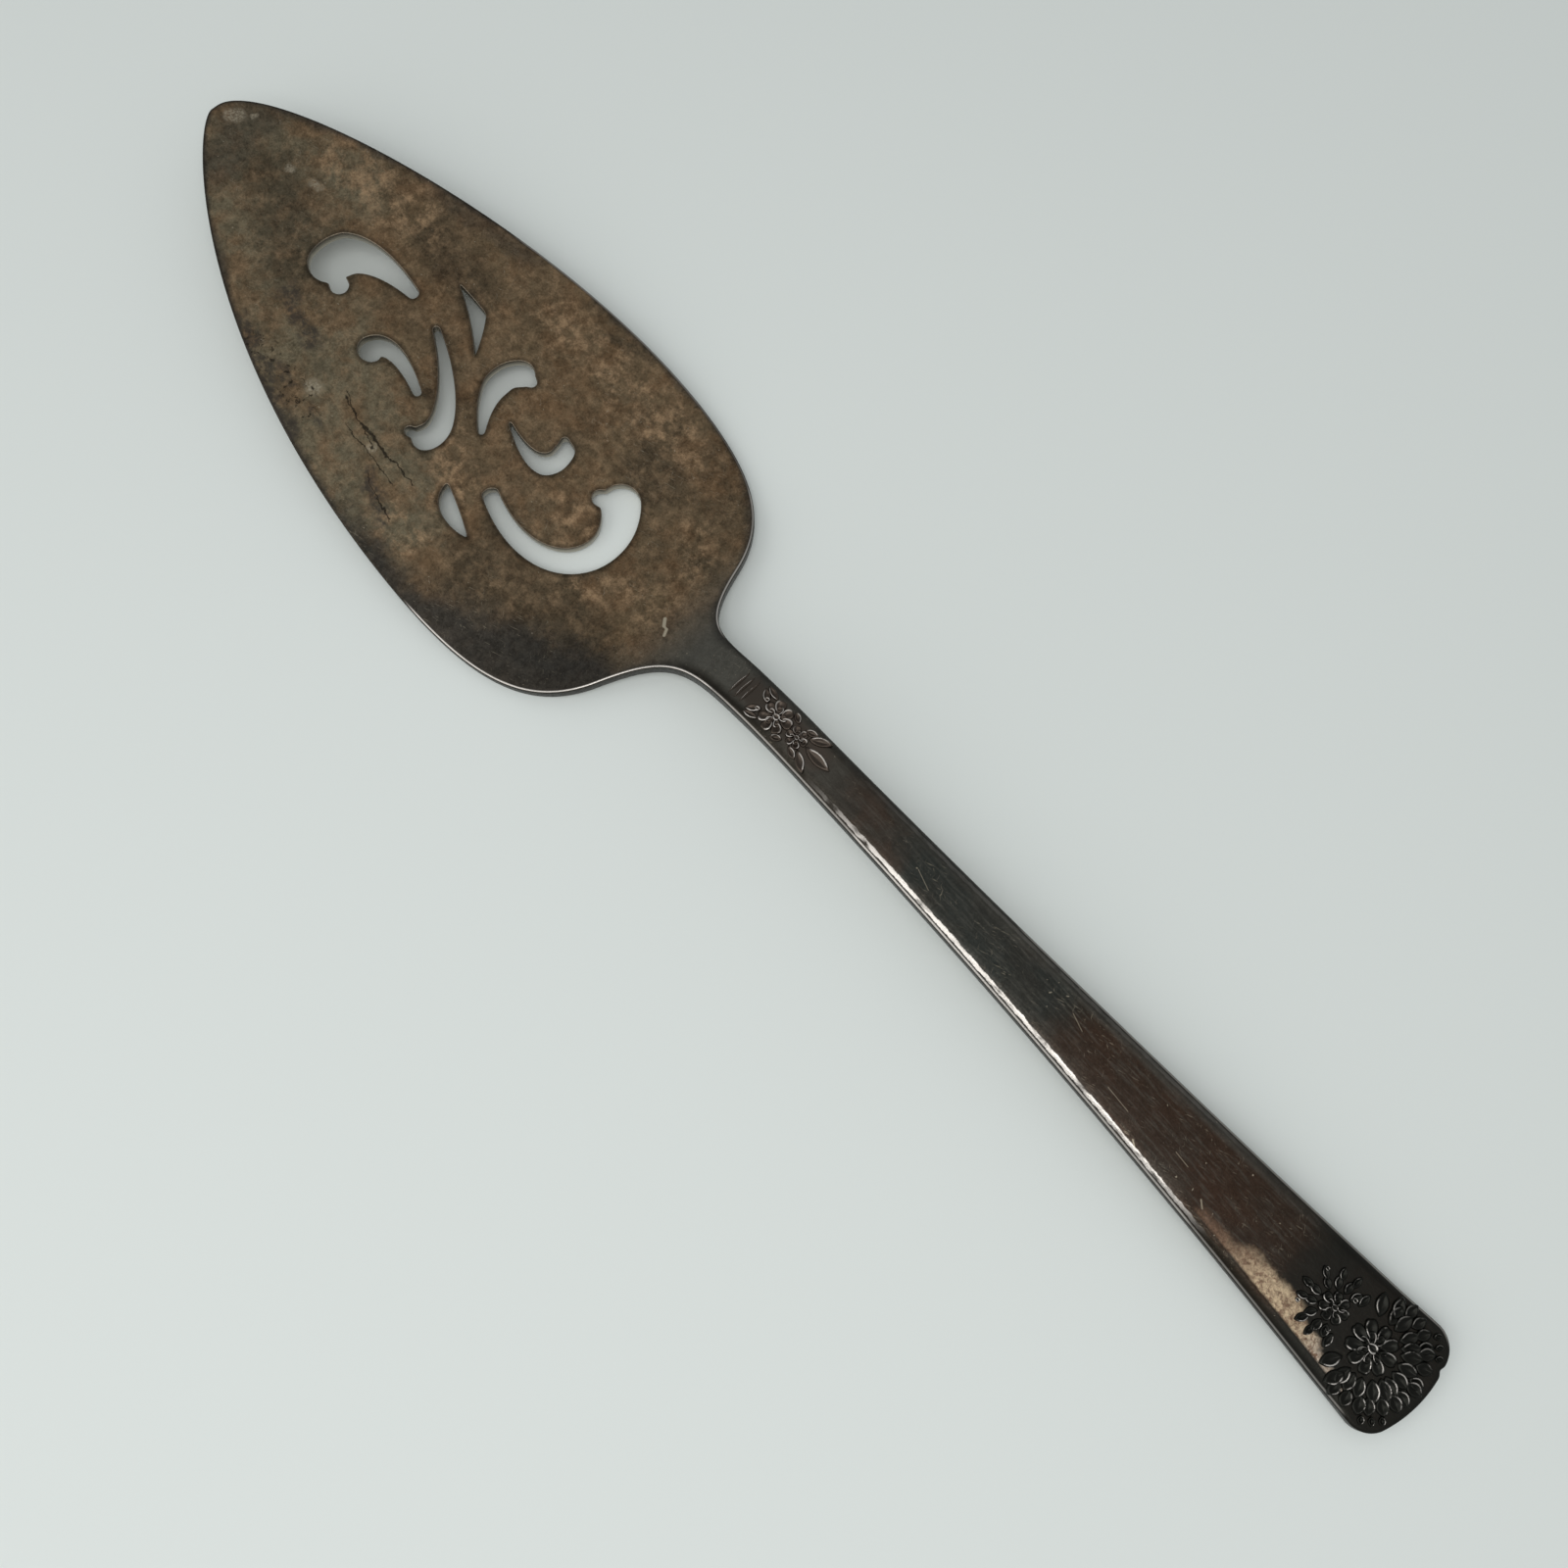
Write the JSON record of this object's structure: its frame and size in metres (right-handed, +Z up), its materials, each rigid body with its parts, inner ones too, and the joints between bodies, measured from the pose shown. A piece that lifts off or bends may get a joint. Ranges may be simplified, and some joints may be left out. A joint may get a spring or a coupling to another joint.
{
  "type": "pie server",
  "caption": "One-piece metal pie server with a pierced leaf-shaped blade, a narrow neck and a flat handle that widens to a rounded end with raised flowers.",
  "frame": {"origin": "on the table, under the middle of the outline's box, with the server lying on its heel and the end of its handle", "axes": "+X along the length from the blade's tip to the handle's end, +Z up from the table, +Y to the right hand of a person who holds the handle and looks towards the tip"},
  "size_m": [0.254, 0.0536, 0.0102],
  "materials": {
    "silver_plate": "stamped and silver plated, heavily tarnished, brown on the blade and dark grey on the handle, bare metal showing at one side of the handle's end"
  },
  "bodies": {
    "root": {"pie_server": "silver_plate"}
  },
  "joints": []
}
